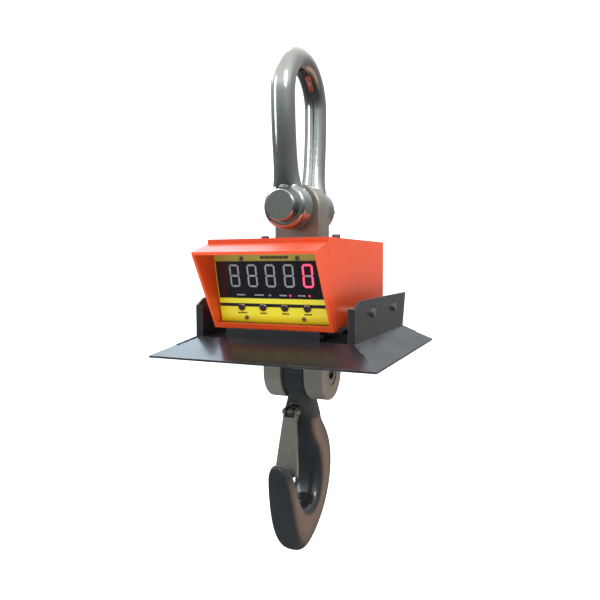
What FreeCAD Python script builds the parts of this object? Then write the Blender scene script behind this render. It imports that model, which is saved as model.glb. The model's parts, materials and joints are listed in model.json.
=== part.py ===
"""Crane scale with a heat shield: bow shackle, load cell, display housing, shield and safety hook.

The origin is the seat inside the shackle's crown, where a crane hook bears. +Z is up, the display faces -Y,
and +X is to the right of someone reading it. All sizes are millimetres.
"""
import FreeCAD, Part
import math
import os
import Sketcher
from FreeCAD import Placement, Rotation, Vector

doc = FreeCAD.newDocument("CraneScale")
sheet = doc.addObject("Spreadsheet::Sheet", "Dimensions")

# Driving dimensions. Heights are drops below the crown seat.
DIMENSIONS = {
    "bar_dia": 36,
    "bow_radius": 63,
    "crown_drop": 45,
    "eye_spread": 92,
    "eye_width": 38,
    "eye_dia": 69,
    "pin_drop": 210,
    "pin_dia": 42,
    "pin_head_dia": 47,
    "pin_head_length": 14,
    "cell_offset": 5,
    "lug_width": 77,
    "lug_thick": 42,
    "block_width": 90,
    "block_depth": 76,
    "block_top_drop": 290,
    "cheek_outer_width": 100,
    "cheek_gap": 40,
    "cheek_depth": 88,
    "hook_pin_drop": 467,
    "hook_pin_dia": 36,
    "running_gap": 0.05,
    "housing_width": 189,
    "housing_front": 123.4,
    "housing_back": 137.6,
    "housing_drop": 260,
    "housing_floor_drop": 386,
    "shell_wall": 3,
    "visor_reach": 166.7,
    "visor_lip_drop": 279,
    "visor_lip_height": 4.2,
    "visor_sill_reach": 105.8,
    "visor_drop": 390,
    "visor_wall": 4,
    "panel_lean": 12.3,
    "panel_width": 180,
    "panel_height": 103,
    "digit_pitch": 29,
    "button_pitch": 35,
    "button_dia": 12,
    "wall_spread": 253,
    "wall_top_drop": 347,
    "shield_floor_drop": 405,
    "rim_drop": 429,
    "rim_width": 345,
    "rim_front": 163.8,
    "rim_back": 181.2,
    "floor_front": 108.3,
    "floor_back": 151.7,
    "wall_back": 171.5,
    "sheet_thick": 3,
    "shield_bolt_dia": 8,
    "hook_thick": 37,
    "hook_eye_dia": 80,
    "hook_tilt": 4.5,
}


class Size:
    """A length that carries both its value and the spreadsheet expression it comes from."""

    def __init__(self, value, text):
        self.value = float(value)
        self.text = text

    def _with(self, other, value, pattern):
        other_text = other.text if isinstance(other, Size) else repr(float(other))
        return Size(value, pattern.format(self.text, other_text))

    def __add__(self, other):
        return self._with(other, self.value + number(other), "({0} + {1})")

    def __sub__(self, other):
        return self._with(other, self.value - number(other), "({0} - {1})")

    def __rsub__(self, other):
        return self._with(other, number(other) - self.value, "({1} - {0})")

    def __mul__(self, other):
        return self._with(other, self.value * number(other), "({0} * {1})")

    def __truediv__(self, other):
        return self._with(other, self.value / number(other), "({0} / {1})")

    def __neg__(self):
        return Size(-self.value, "(-{0})".format(self.text))

    __radd__ = __add__
    __rmul__ = __mul__


def number(size):
    """The plain value of a Size or a number."""
    return size.value if isinstance(size, Size) else float(size)


for row, (alias, amount) in enumerate(DIMENSIONS.items(), start=1):
    sheet.set("A%d" % row, alias.replace("_", " "))
    sheet.set("B%d" % row, str(amount))
    sheet.setAlias("B%d" % row, alias)
doc.recompute()


def dim(alias):
    """A driving dimension by its alias."""
    return Size(sheet.get(alias), "Dimensions." + alias)


def bind(item, name, size):
    """Set a property and keep it bound to the spreadsheet when the size comes from there."""
    if isinstance(size, Size):
        item.setExpression(name, size.text)


def place(item, x=0, y=0, z=0, axis=Vector(0, 0, 1), angle=0):
    """Put an object at a point, turned about an axis, with its position bound to the sheet."""
    item.Placement = Placement(Vector(number(x), number(y), number(z)), Rotation(axis, number(angle)))
    for name, size in (("x", x), ("y", y), ("z", z)):
        bind(item, "Placement.Base." + name, size)
    return item


def label(item, name):
    """Name an object."""
    item.Label = name
    return item


def box(name, x_range, y_range, z_range):
    """A block between two bounds on each axis."""
    item = label(doc.addObject("Part::Box", name), name)
    for prop, (low, high) in (("Length", x_range), ("Width", y_range), ("Height", z_range)):
        span = high - low
        setattr(item, prop, number(span))
        bind(item, prop, span)
    return place(item, x_range[0], y_range[0], z_range[0])


AXES = {
    "X": (Vector(0, 1, 0), 90),
    "Y": (Vector(1, 0, 0), -90),
    "Z": (Vector(0, 0, 1), 0),
}


def rod(name, axis, radius, length, x=0, y=0, z=0):
    """A cylinder that starts at a point and runs along +X, +Y or +Z."""
    item = label(doc.addObject("Part::Cylinder", name), name)
    item.Radius = number(radius)
    item.Height = number(length)
    bind(item, "Radius", radius)
    bind(item, "Height", length)
    return place(item, x, y, z, *AXES[axis])


def fuse(name, parts):
    """Join several shapes into one solid."""
    item = label(doc.addObject("Part::MultiFuse", name), name)
    item.Shapes = parts
    item.Refine = True
    return item


def cut(name, base, tools):
    """Take one or more shapes out of another."""
    tool = tools[0] if len(tools) == 1 else fuse(name + "_cutters", tools)
    item = label(doc.addObject("Part::Cut", name), name)
    item.Base = base
    item.Tool = tool
    return item


def common(name, first, second):
    """Keep what two shapes share."""
    item = label(doc.addObject("Part::Common", name), name)
    item.Base = first
    item.Tool = second
    return item


def group(name, items):
    """Keep separate solids together in one node, as for a set of identical fasteners."""
    item = label(doc.addObject("Part::Compound", name), name)
    item.Links = items
    return item


def rounded(name, base, radius, pick):
    """Round the edges that a test picks."""
    doc.recompute()
    item = label(doc.addObject("Part::Fillet", name), name)
    item.Base = base
    chosen = [n for n, edge in enumerate(base.Shape.Edges, start=1) if pick(edge)]
    item.Edges = [(n, radius, radius) for n in chosen]
    return item


def along(edge, direction):
    """Whether an edge is straight and runs along a direction."""
    if not isinstance(edge.Curve, Part.Line):
        return False
    return abs(abs(edge.tangentAt(edge.FirstParameter).dot(direction)) - 1) < 1e-6


PLANES = {
    "XY": "XY_Plane",
    "XZ": "XZ_Plane",
    "YZ": "YZ_Plane",
}


def plane_of(body, plane):
    """A body's own origin plane."""
    wanted = PLANES[plane]
    return next(part for part in body.Origin.OriginFeatures if part.Role == wanted)


def outline_sketch(body, name, plane, outlines):
    """A sketch of closed straight-sided outlines on a body's origin plane, each corner bound to the sheet."""
    sketch = body.newObject("Sketcher::SketchObject", name)
    sketch.AttachmentSupport = [(plane_of(body, plane), "")]
    sketch.MapMode = "FlatFace"
    first = 0
    for corners in outlines:
        count = len(corners)
        for index, (u, v) in enumerate(corners):
            u_next, v_next = corners[(index + 1) % count]
            start = Vector(number(u), number(v), 0)
            end = Vector(number(u_next), number(v_next), 0)
            sketch.addGeometry(Part.LineSegment(start, end), False)
        for index in range(count):
            after = first + (index + 1) % count
            sketch.addConstraint(Sketcher.Constraint("Coincident", first + index, 2, after, 1))
        for index, corner in enumerate(corners):
            for kind, size in zip(("DistanceX", "DistanceY"), corner):
                datum = Sketcher.Constraint(kind, -1, 1, first + index, 1, number(size))
                key = sketch.addConstraint(datum)
                bind(sketch, "Constraints[%d]" % key, size)
        first += count
    return sketch


def prism(name, plane, outlines, low, high):
    """A padded outline between two distances along its plane's normal: +Z for XY, -Y for XZ, +X for YZ."""
    body = label(doc.addObject("PartDesign::Body", name), name)
    sketch = outline_sketch(body, name + "_outline", plane, outlines)
    pad = body.newObject("PartDesign::Pad", name + "_pad")
    pad.Profile = sketch
    pad.Length = number(high - low)
    bind(pad, "Length", high - low)
    if plane == "XY":
        place(body, z=low)
    elif plane == "XZ":
        place(body, y=-low)
    else:
        place(body, x=low)
    return body


def rectangle(u_range, v_range):
    """The four corners of an upright rectangle."""
    (u0, u1), (v0, v1) = u_range, v_range
    return [(u0, v0), (u1, v0), (u1, v1), (u0, v1)]


def centred(width):
    """The two bounds of a width centred on zero."""
    return -width / 2, width / 2


def repeat(name, make, spots):
    """One copy of a small piece at each spot, kept together as a group of solids."""
    return group(name, [make("%s_%d" % (name, n), *spot) for n, spot in enumerate(spots, start=1)])


NODES = []


def node(item):
    """Record a finished sub-part."""
    NODES.append(item)
    return item


# ---------------------------------------------------------------- shackle
bar_radius = dim("bar_dia") / 2
pin_z = -dim("pin_drop")
eye_centre = dim("eye_spread") / 2
pin_radius = dim("pin_dia") / 2
eye_outer = eye_centre + dim("eye_width") / 2


def shackle_bow():
    """A round bar bent into a bow, flaring into an eye at each end."""
    radius = dim("bow_radius").value
    crown_z = -dim("crown_drop").value
    bar = bar_radius.value
    eye_y = eye_centre.value
    eye_z = pin_z.value
    leg_end = Vector(0, eye_y, eye_z + 14)
    inward = radius - eye_y
    fall = crown_z - leg_end.z
    leg_radius = (inward ** 2 + fall ** 2) / (2 * inward)
    half_turn = math.asin(fall / leg_radius) / 2
    edges = []
    for side in (-1, 1):
        middle = Vector(0, side * (radius - leg_radius * (1 - math.cos(half_turn))),
                        crown_z - leg_radius * math.sin(half_turn))
        end = Vector(0, side * leg_end.y, leg_end.z)
        top = Vector(0, side * radius, crown_z)
        leg = (end, middle, top) if side < 0 else (top, middle, end)
        edges.append(Part.Arc(*leg).toShape())
    crown = Part.Arc(Vector(0, -radius, crown_z), Vector(0, 0, crown_z + radius), Vector(0, radius, crown_z))
    path = Part.Wire([edges[0], crown.toShape(), edges[1]])
    lean = Vector(0, math.sin(2 * half_turn), math.cos(2 * half_turn))
    bar_end = Part.Circle(Vector(0, -leg_end.y, leg_end.z), Vector(0, -lean.y, lean.z), bar)
    section = Part.Wire(bar_end.toShape())
    solid = path.makePipeShell([section], True, True)
    for side in (-1, 1):
        flare = []
        for rise, grow in ((86, -0.6), (64, 0.3), (46, 1.5), (32, 4), (18, 8)):
            drop = crown_z - eye_z - rise
            leg_y = radius - leg_radius + math.sqrt(leg_radius ** 2 - drop ** 2)
            ring = Part.Ellipse(Vector(0, 0, 0), bar + grow, bar + min(grow, 0.6)).toShape()
            ring.Placement = Placement(Vector(0, side * leg_y, eye_z + rise), Rotation())
            flare.append(Part.Wire(ring))
        solid = solid.fuse(Part.makeLoft(flare, True))
        eye = Part.makeCylinder(dim("eye_dia").value / 2, dim("eye_width").value,
                                Vector(0, side * eye_y - dim("eye_width").value / 2, eye_z), Vector(0, 1, 0))
        eye = eye.makeFillet(7, [edge for edge in eye.Edges if isinstance(edge.Curve, Part.Circle)])
        solid = solid.fuse(eye)
    bore = Part.makeCylinder(pin_radius.value + dim("running_gap").value, 4 * eye_outer.value,
                             Vector(0, -2 * eye_outer.value, eye_z), Vector(0, 1, 0))
    for low in (eye_outer.value, -eye_outer.value - SPOT_DEEP):
        solid = solid.cut(Part.makeCylinder(SPOT_RADIUS, SPOT_DEEP, Vector(0, low, eye_z), Vector(0, 1, 0)))
    item = label(doc.addObject("Part::Feature", "shackle_bow"), "shackle_bow")
    item.Shape = solid.cut(bore).removeSplitter()
    return item


def shackle_pin():
    """The bolt through both eyes, turned in one piece: head, shank and a cross-drilled threaded end."""
    body = label(doc.addObject("PartDesign::Body", "pin_blank"), "pin_blank")
    head = dim("pin_head_dia") / 2
    tail = eye_outer + 24
    front = eye_outer + dim("pin_head_length")
    thread = pin_radius - 3
    profile = [(-front, 0), (-front, head - 1.6), (-front + 1.6, head), (-eye_outer, head),
               (-eye_outer, pin_radius), (eye_outer, pin_radius), (eye_outer, thread),
               (tail - 2, thread), (tail, thread - 2), (tail, 0)]
    sketch = outline_sketch(body, "pin_profile", "YZ", [profile])
    turned = body.newObject("PartDesign::Revolution", "pin_turned")
    turned.Profile = sketch
    turned.ReferenceAxis = (sketch, ["H_Axis"])
    turned.Angle = 360
    place(body, z=pin_z)
    return cut("shackle_pin", body, [rod("cotter_bore", "Z", COTTER_RADIUS, 60, 0, COTTER_Y, pin_z - 30)])


def hex_nut(name, axis, across, thick, bore, x=0, y=0, z=0):
    """A hexagon nut that starts at a point, with its bore open for a running or threaded shank."""
    prism_item = label(doc.addObject("Part::Prism", name + "_hexagon"), name + "_hexagon")
    prism_item.Polygon = 6
    prism_item.Circumradius = across / math.sqrt(3)
    prism_item.Height = thick
    place(prism_item, x, y, z, *AXES[axis])
    hole = rod(name + "_hole", axis, bore, thick, x, y, z)
    return cut(name, prism_item, [hole])


PIN_NUT_THICK = 14
SPOT_RADIUS = 29.5
SPOT_DEEP = 20
COTTER_RADIUS = 2
COTTER_Y = eye_outer + PIN_NUT_THICK + 3.5
node(shackle_bow())
node(shackle_pin())
node(hex_nut("shackle_nut", "Y", 50, PIN_NUT_THICK, pin_radius - 3, y=eye_outer, z=pin_z))


def split_pin(name, radius, length, x, y, z):
    """A split pin through a bolt's end: a straight leg pair under a round head."""
    leg = rod(name + "_leg", "Z", radius, length, x, y, z - length / 2)
    head = label(doc.addObject("Part::Sphere", name + "_head"), name + "_head")
    head.Radius = radius * 1.7
    place(head, x, y, z + length / 2)
    return fuse(name, [leg, head])


node(split_pin("shackle_cotter", COTTER_RADIUS, 46, 0, COTTER_Y, pin_z))

# ---------------------------------------------------------------- load cell
cell_y = dim("cell_offset")
lug_half = dim("lug_width") / 2
lug_deep = dim("lug_thick") / 2
block_half = dim("block_width") / 2
block_deep = dim("block_depth") / 2
block_top = -dim("block_top_drop")
hook_z = -dim("hook_pin_drop")
cheek_half = dim("cheek_outer_width") / 2
cheek_deep = dim("cheek_depth") / 2
hook_pin_radius = dim("hook_pin_dia") / 2
floor_z = -dim("shield_floor_drop")
housing_floor = -dim("housing_floor_drop")
FLANGE_HALF_X = 66
FLANGE_HALF_Y = 52
FLANGE_THICK = 12
BUSH_WALL = 4
KEEPER_DEPTH = 4.5
KEEPER_THICK = 3.5
KEEPER_WIDER = 3
FLANGE_BOLTS = [(sx * 57, sy * 44) for sx in (-1, 1) for sy in (-1, 1)]


def load_cell():
    """One machined steel cell: upper lug, gauge block, mounting flange and lower fork."""
    lug_disc = rod("lug_disc", "Y", lug_half, lug_deep * 2, 0, cell_y - lug_deep, pin_z)
    lug_plate = box("lug_plate", (-lug_half, lug_half), (cell_y - lug_deep, cell_y + lug_deep),
                    (block_top, pin_z))
    block = box("gauge_block", (-block_half, block_half), (cell_y - block_deep, cell_y + block_deep),
                (floor_z - 10, block_top))
    flange = box("cell_flange", (-FLANGE_HALF_X, FLANGE_HALF_X),
                 (cell_y - FLANGE_HALF_Y, cell_y + FLANGE_HALF_Y), (floor_z + 3, floor_z + 3 + FLANGE_THICK))
    fork = box("fork_block", (-cheek_half, cheek_half), (cell_y - cheek_deep, cell_y + cheek_deep),
               (hook_z, floor_z - 4))
    fork_disc = rod("fork_disc", "X", cheek_deep, cheek_half * 2, -cheek_half, cell_y, hook_z)
    blank = fuse("cell_blank", [lug_disc, lug_plate, block, flange, fork, fork_disc])
    edges_rounded = rounded("cell_blank_rounded", blank, 3.0, lambda edge: along(edge, Vector(0, 0, 1)))
    gap = dim("cheek_gap") / 2
    slot = box("fork_slot", (-gap, gap), (cell_y - 60, cell_y + 60),
               (hook_z - 60, hook_z + dim("hook_eye_dia") / 2 + 3))
    bush_bore = rod("bush_bore", "Y", pin_radius + BUSH_WALL, 80, 0, cell_y - 40, pin_z)
    cross_bore = rod("cross_bore", "X", hook_pin_radius + dim("running_gap"), 140, -70, cell_y, hook_z)
    pockets = [rod("keeper_recess", "X", hook_pin_radius + KEEPER_WIDER, KEEPER_DEPTH, start, cell_y, hook_z)
               for start in (-cheek_half, cheek_half - KEEPER_DEPTH)]
    for side in (-1, 1):
        start = cell_y - block_deep - 1 if side < 0 else cell_y + block_deep - 14
        pockets.append(rod("gauge_pocket", "Y", 22, 15, 0, start, GAUGE_Z))
    gland_bore = rod("gland_bore", "X", 5, 30, block_half - 20, cell_y, GAUGE_Z - 30)
    bolt_holes = [rod("flange_hole", "Z", 4.5, 60, x, cell_y + y, floor_z - 20) for x, y in FLANGE_BOLTS]
    return cut("load_cell", edges_rounded, [slot, bush_bore, cross_bore, gland_bore] + pockets + bolt_holes)


GAUGE_Z = -330.0
node(load_cell())
node(cut("lug_bush", rod("bush_tube", "Y", pin_radius + BUSH_WALL, lug_deep * 2, 0, cell_y - lug_deep, pin_z),
         [rod("bush_hole", "Y", pin_radius + dim("running_gap"), 80, 0, cell_y - 40, pin_z)]))
for side, word in ((-1, "front"), (1, "rear")):
    face = cell_y + block_deep * side
    lid = rod("gauge_lid_" + word, "Y", 26, 3, 0, face - 3 if side < 0 else face, GAUGE_Z)
    spigot = rod("gauge_spigot_" + word, "Y", 21.5, 6, 0, face if side < 0 else face - 6, GAUGE_Z)
    node(fuse("gauge_cover_" + word, [lid, spigot]))
gland_body = rod("gland_body", "X", 5, 18, block_half - 12, cell_y, GAUGE_Z - 30)
gland_nut = rod("gland_nut", "X", 9, 7, block_half, cell_y, GAUGE_Z - 30)
node(fuse("cell_cable_gland", [gland_body, gland_nut]))

# ---------------------------------------------------------------- hook pin
pin_reach = cheek_half - KEEPER_DEPTH
node(rod("hook_pin", "X", hook_pin_radius, pin_reach * 2, -pin_reach, cell_y, hook_z))
for side, word in ((-1, "left"), (1, "right")):
    start = pin_reach if side > 0 else -pin_reach - KEEPER_THICK
    ring = rod("keeper_disc_" + word, "X", hook_pin_radius + KEEPER_WIDER, KEEPER_THICK,
               start, cell_y, hook_z)
    hole = rod("keeper_hole_" + word, "X", hook_pin_radius - 7, KEEPER_THICK, start, cell_y, hook_z)
    node(cut("hook_pin_ring_" + word, ring, [hole]))

# ---------------------------------------------------------------- housing
housing_top = -dim("housing_drop")
housing_half = dim("housing_width") / 2
front = -dim("housing_front")
back = dim("housing_back")
wall = dim("shell_wall")
STEP = 6.3
sill_z = -dim("visor_drop")
TOP_BOLTS = (-61, 61)
TOP_BOLTS_FORWARD = 10
SPLIT_FOOT = -98.0


def housing_shell():
    """A folded box with a leaning open front, open at the back and at the bottom."""
    profile = [(front, housing_top), (back, housing_top), (back, housing_floor),
               (SPLIT_FOOT + 0.8, housing_floor), (front, housing_top - STEP)]
    outer = prism("shell_outer", "YZ", [profile], -housing_half, housing_half)
    softened = rounded("shell_softened", outer, 2.5, lambda edge: along(edge, Vector(1, 0, 0))
                       and edge.CenterOfMass.z > housing_top.value - 1 and edge.CenterOfMass.y > 0)
    inner_profile = [(front - 40, housing_top - wall), (back + 40, housing_top - wall),
                     (back + 40, housing_floor - 40), (front - 40, housing_floor - 40)]
    inner = prism("shell_inner", "YZ", [inner_profile], -housing_half + wall, housing_half - wall)
    lip = box("shell_front_lip", (-housing_half + wall, housing_half - wall), (front, front + 3),
              (housing_top - STEP, housing_top - wall))
    lug_window = box("lug_window", (-lug_half - 4, lug_half + 4),
                     (cell_y - lug_deep - 4, cell_y + lug_deep + 4), (housing_top - 10, housing_top + 10))
    top_holes = [rod("top_bolt_hole", "Z", 4.2, 30, x, cell_y - TOP_BOLTS_FORWARD, housing_top - 15)
                 for x in TOP_BOLTS]
    side_holes = [rod("side_bolt_hole", "X", 4.2, 220, -110, y, SIDE_BOLT_Z) for y in SIDE_BOLTS]
    hollow = cut("shell_hollow", softened, [inner])
    return cut("housing_shell", fuse("shell_with_lip", [hollow, lip]), [lug_window] + top_holes + side_holes)


SIDE_BOLTS = (-33, 86)
SIDE_BOLT_Z = -367.0
node(housing_shell())


def front_visor():
    """The hood: a leaning frame of roof, two cheeks and a sill round the display."""
    lip_z = -dim("visor_lip_drop")
    reach = -dim("visor_reach")
    sill_y = -dim("visor_sill_reach")
    skin = dim("visor_wall")
    outer_profile = [(front, housing_top - STEP), (reach, lip_z),
                     (reach + 1, lip_z - dim("visor_lip_height")),
                     (sill_y, sill_z), (SPLIT_FOOT + 14, sill_z), (SPLIT_FOOT + 14, housing_floor),
                     (SPLIT_FOOT + 0.8, housing_floor)]
    lip_foot = lip_z - dim("visor_lip_height")
    inner_profile = [(front + 1, housing_top - STEP - skin), (reach + 5, lip_z - skin * 0.8),
                     (reach + 5, lip_foot), (reach - 60, lip_foot), (reach - 60, sill_z + 8),
                     (SPLIT_FOOT + 40, sill_z + 8), (SPLIT_FOOT + 40, housing_floor + 20)]
    outer = prism("visor_outer", "YZ", [outer_profile], -housing_half + 0.3, housing_half - 0.3)
    inner = prism("visor_inner", "YZ", [inner_profile], -housing_half + skin, housing_half - skin)
    return cut("front_visor", outer, [inner])


node(front_visor())

REAR_COVER_THICK = 3
REAR_SCREWS = [(sx * 84, z) for sx in (-1, 1) for z in (-272, -323, -374)]
REAR_SCREW_RADIUS = 2
SOCKET_AT = (55, -352)
SOCKET_RADIUS = 7.5
SWITCH_X = (-63, -43)
SWITCH_Z = (-359, -345)


def rear_cover():
    """The flat back plate, with six screw holes and an opening each for the socket and the switch."""
    blank = box("rear_cover_blank", (-housing_half, housing_half), (back, back + REAR_COVER_THICK),
                (housing_floor, housing_top))
    plate = rounded("rear_cover_plate", blank, 1.2, lambda edge: edge.CenterOfMass.y > back.value + 2.9)
    holes = [rod("rear_hole", "Y", REAR_SCREW_RADIUS, 20, x, back - 10, z) for x, z in REAR_SCREWS]
    holes.append(rod("socket_opening", "Y", SOCKET_RADIUS, 20, SOCKET_AT[0], back - 10, SOCKET_AT[1]))
    holes.append(box("switch_opening", SWITCH_X, (back - 10, back + 10), SWITCH_Z))
    return cut("rear_cover", plate, holes)


node(rear_cover())

BASE_THICK = 4
FLOOR_PLATE_BACK = 134
base_blank = box("base_blank", (-housing_half + wall, housing_half - wall), (-78, FLOOR_PLATE_BACK),
                 (housing_floor, housing_floor + BASE_THICK))
cell_window = box("base_window", (-block_half - 1, block_half + 1),
                  (cell_y - block_deep - 1, cell_y + block_deep + 1), (housing_floor - 10, housing_floor + 10))
node(cut("base_plate", base_blank, [cell_window] + [
    rod("base_hole", "Z", 4.5, 20, x, cell_y + y, housing_floor - 10) for x, y in FLANGE_BOLTS]))

seal_outer = box("seal_outer", (-lug_half - 8, lug_half + 8), (cell_y - lug_deep - 8, cell_y + lug_deep + 8),
                 (housing_top, housing_top + 3))
seal_neck = box("seal_neck", (-lug_half - 4, lug_half + 4), (cell_y - lug_deep - 4, cell_y + lug_deep + 4),
                (housing_top - 5, housing_top))
seal_hole = box("seal_hole", (-lug_half, lug_half), (cell_y - lug_deep, cell_y + lug_deep),
                (housing_top - 10, housing_top + 10))
node(cut("lug_seal", fuse("seal_body", [seal_outer, seal_neck]), [seal_hole]))


def cap_screw(name, x, y, z, washer_thick=1.6, head_height=7, length=16):
    """A cap screw and its washer above a point, with the shank below it."""
    washer = rod(name + "_washer", "Z", 8, washer_thick, x, y, z)
    head = rod(name + "_head", "Z", 6.5, head_height, x, y, z + washer_thick)
    shank = rod(name + "_shank", "Z", 4, length + washer_thick, x, y, z - length)
    return fuse(name, [washer, head, shank])


node(repeat("top_bolts", cap_screw, [(x, cell_y - TOP_BOLTS_FORWARD, housing_top) for x in TOP_BOLTS]))


def flange_bolt(name, x, y):
    """A bolt up through shield floor, cell flange and base plate, with its nut on top."""
    shank = rod(name + "_shank", "Z", 4, 34, x, y, floor_z - 3)
    head = rod(name + "_head", "Z", 6.5, 5, x, y, floor_z - 8)
    nut = rod(name + "_nut", "Z", 6.8, 6.5, x, y, housing_floor + BASE_THICK)
    return fuse(name, [shank, head, nut])


node(repeat("flange_bolts", flange_bolt, [(x, cell_y + y) for x, y in FLANGE_BOLTS]))

# ---------------------------------------------------------------- display, in the leaning plane of the panel
PANEL_TOP = Vector(0, -115.2, -281.0)
lean = dim("panel_lean")
PANEL_TURN = Rotation(Vector(1, 0, 0), lean.value)


def on_panel(item, x=0.0, down=0.0, depth=0.0):
    """Seat a piece drawn with X across, Z up and -Y outward at a place on the panel's face."""
    seat = Placement(PANEL_TOP, PANEL_TURN).multiply(Placement(Vector(x, depth, -down), Rotation()))
    item.Placement = seat.multiply(item.Placement)
    return item


def panel_block(name, width, height, thick):
    """A slab centred on its own X, hanging down from Z = 0, its outer face at Y = 0."""
    slab = prism(name, "XZ", [rectangle(centred(width), (-height, 0))], -thick, 0)
    return slab


PANEL_THICK = 2.0
panel_w = dim("panel_width")
panel_h = dim("panel_height")
PANEL_SCREW_RADIUS = 1.5
WINDOW_DOWN = 11.2
WINDOW_TALL = 54.5
WINDOW_WIDE = 176.0
BUTTON_DOWN = 79.4
DIGIT_DOWN = 32.2
SCREW_SPOTS = [(-44, 7.5), (44, 7.5), (-46, 95.5), (46, 95.5)]
button_xs = [dim("button_pitch") * k for k in (-1.5, -0.5, 0.5, 1.5)]
button_r = dim("button_dia") / 2


def display_panel():
    """The printed face plate with a window opening, four button holes and four screw holes."""
    body = label(doc.addObject("PartDesign::Body", "display_panel"), "display_panel")
    half = panel_w / 2
    opening = (WINDOW_WIDE - 8) / 2
    frame = [rectangle((-half, half), (-panel_h, 0)),
             rectangle((-opening, opening), (-WINDOW_DOWN - WINDOW_TALL + 4, -WINDOW_DOWN - 4))]
    sketch = outline_sketch(body, "panel_outline", "XZ", frame)
    first_hole = sketch.GeometryCount
    holes = [(x, -BUTTON_DOWN, button_r + 0.2) for x in button_xs] + [(x, -d, 1.7) for x, d in SCREW_SPOTS]
    for index, (x, z, radius) in enumerate(holes):
        circle = Part.Circle(Vector(number(x), z, 0), Vector(0, 0, 1), number(radius))
        sketch.addGeometry(circle, False)
        for kind, size in (("DistanceX", x), ("DistanceY", z)):
            key = sketch.addConstraint(Sketcher.Constraint(kind, -1, 1, first_hole + index, 3, number(size)))
            bind(sketch, "Constraints[%d]" % key, size)
        key = sketch.addConstraint(Sketcher.Constraint("Radius", first_hole + index, number(radius)))
        bind(sketch, "Constraints[%d]" % key, radius)
    pad = body.newObject("PartDesign::Pad", "panel_pad")
    pad.Profile = sketch
    pad.Length = PANEL_THICK
    pad.Reversed = True
    return on_panel(body)


node(display_panel())
WINDOW_THICK = 1.2
node(on_panel(panel_block("display_window", WINDOW_WIDE, WINDOW_TALL, WINDOW_THICK), down=WINDOW_DOWN,
              depth=-WINDOW_THICK - 0.02))
BOARD_DEPTH = 14.0
node(on_panel(panel_block("display_board", 172, 92, 1.6), down=6, depth=BOARD_DEPTH))
DIGIT_TALL = 40.0
DIGIT_THICK = 10.0
for n in range(5):
    digit = panel_block("digit_%d" % (n + 1), dim("digit_pitch") - 1.5, DIGIT_TALL, DIGIT_THICK)
    node(on_panel(digit, x=(dim("digit_pitch") * (n - 2)).value, down=DIGIT_DOWN - DIGIT_TALL / 2,
                  depth=BOARD_DEPTH - DIGIT_THICK - 0.05))
LED_DOWN = 60.8
led_items = []
for n, x in enumerate((-58, -20, 28.4, 57.9), start=1):
    led = rod("led_%d" % n, "Y", 2.2, BOARD_DEPTH - 4.05)
    led_items.append(on_panel(led, x=x, down=LED_DOWN, depth=4.0))
node(group("indicator_leds", led_items))

BUTTON_PROUD = 3.0
for n, x in enumerate(button_xs, start=1):
    stem = rod("button_stem_%d" % n, "Y", button_r, BUTTON_PROUD + 3.2, 0, -BUTTON_PROUD, 0)
    collar = rod("button_collar_%d" % n, "Y", button_r + 1.6, 1.4, 0, PANEL_THICK + 0.2, 0)
    plunger = rod("button_plunger_%d" % n, "Y", 1.8, 3.6, 0, PANEL_THICK + 0.6, 0)
    cap = rounded("button_%d" % n, fuse("button_blank_%d" % n, [stem, collar, plunger]), 2.4,
                  lambda edge: abs(edge.CenterOfMass.y + BUTTON_PROUD) < 0.01)
    node(on_panel(cap, x=number(x), down=BUTTON_DOWN))
SWITCH_DEPTH = PANEL_THICK + 0.6 + 3.6
switch_items = []
for n, x in enumerate(button_xs, start=1):
    switch = panel_block("switch_block_%d" % n, 12, 12, BOARD_DEPTH - SWITCH_DEPTH - 1.3)
    switch_items.append(on_panel(switch, x=number(x), down=BUTTON_DOWN - 6, depth=SWITCH_DEPTH + 1.25))
node(group("button_switches", switch_items))


def panel_screw(name, x, down):
    """A small pan-head screw, head out."""
    head = rod(name + "_head", "Y", 3.0, 1.6, 0, -1.6, 0)
    shank = rod(name + "_shank", "Y", PANEL_SCREW_RADIUS, 9, 0, 0, 0)
    return on_panel(fuse(name, [head, shank]), x=x, down=down)


node(repeat("panel_screws", panel_screw, SCREW_SPOTS))


def standoff(name, x, down):
    """A threaded sleeve that holds the display board off the back of the panel."""
    length = BOARD_DEPTH - PANEL_THICK
    tube = rod(name + "_tube", "Y", 2.8, length)
    hole = rod(name + "_hole", "Y", PANEL_SCREW_RADIUS, length)
    return on_panel(cut(name, tube, [hole]), x=x, down=down, depth=PANEL_THICK)


node(repeat("board_standoffs", standoff, SCREW_SPOTS))

# ---------------------------------------------------------------- inside the housing
plate_top = housing_floor + BASE_THICK
bracket_web = box("bracket_web", (-75, 75), (-60.4, -58.9), (plate_top, -345))
bracket_foot = box("bracket_foot", (-75, 75), (-58.9, -46), (plate_top, plate_top + 1.5))
node(fuse("board_bracket", [bracket_web, bracket_foot]))
node(box("main_board", (-75, 75), (-62, -60.4), (-374, -284)))
node(box("battery", (-70, 70), (62, 108), (-378, -284)))
tray_outer = box("tray_outer", (-73, 73), (59, 111), (-382, -360))
tray_inner = box("tray_inner", (-70, 70), (62, 108), (-378, -350))
node(cut("battery_tray", tray_outer, [tray_inner]))


def rear_screw(name, x, z):
    """A pan-head screw through the rear cover."""
    seat = back + REAR_COVER_THICK
    head = rod(name + "_head", "Y", 4.0, 2.2, x, seat, z)
    shank = rod(name + "_shank", "Y", 2.0, 10, x, seat - 10, z)
    return fuse(name, [head, shank])


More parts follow.
